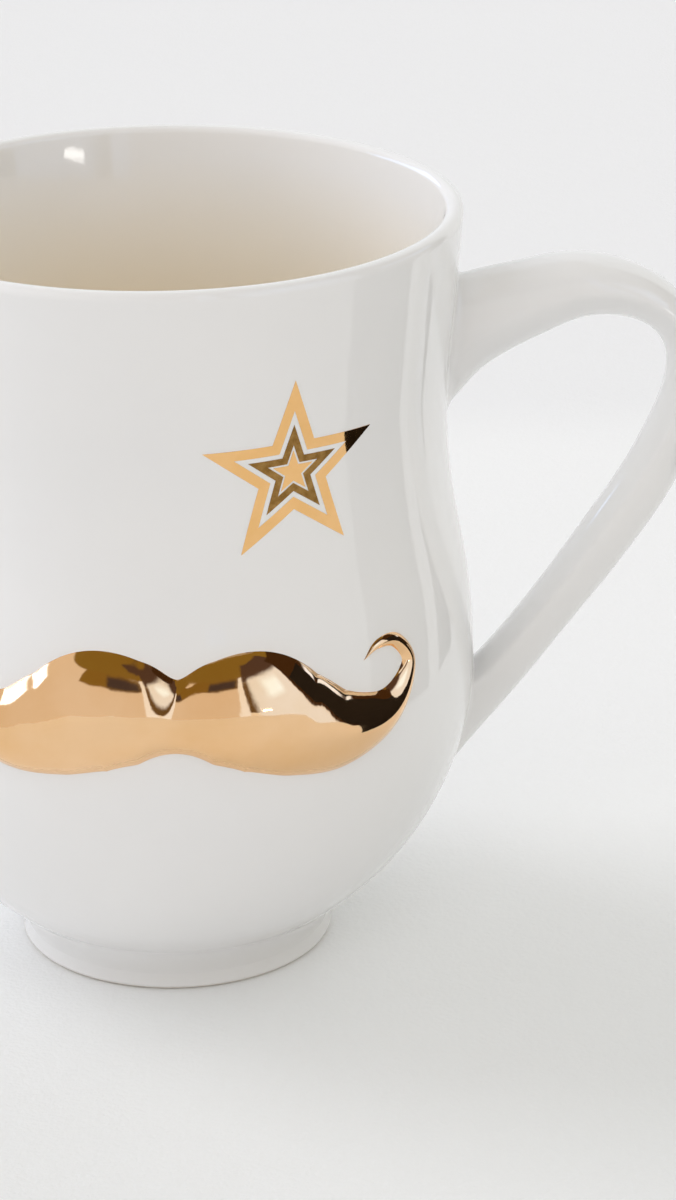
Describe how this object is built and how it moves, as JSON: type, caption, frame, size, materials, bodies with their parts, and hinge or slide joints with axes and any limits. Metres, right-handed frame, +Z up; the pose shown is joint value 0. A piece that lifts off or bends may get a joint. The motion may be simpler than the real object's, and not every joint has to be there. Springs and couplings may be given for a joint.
{
  "type": "mug",
  "caption": "Footed white mug with a full belly, a drawn-in waist and a flared lip, an ear-shaped handle, a gilded moustache in relief and a gilded star",
  "frame": {"origin": "on the table, under the middle of the foot ring, on the axis that the cup is turned about", "axes": "+X from the cup's axis towards the handle, -Y towards the middle of the moustache, +Z up"},
  "size_m": [0.1182, 0.0883, 0.108],
  "materials": {
    "white_glaze": "clear gloss glaze over a white body",
    "gilded_relief": "mirror-bright gold fired over the glaze",
    "bright_gold": "mirror-bright gold print",
    "matt_gold": "dark matt gold print"
  },
  "bodies": {
    "root": {"cup_body": "white_glaze", "foot_ring": "white_glaze", "handle": "white_glaze", "moustache": "gilded_relief", "star_outer_band": "bright_gold", "star_middle_band": "matt_gold", "star_centre": "bright_gold"}
  },
  "joints": []
}
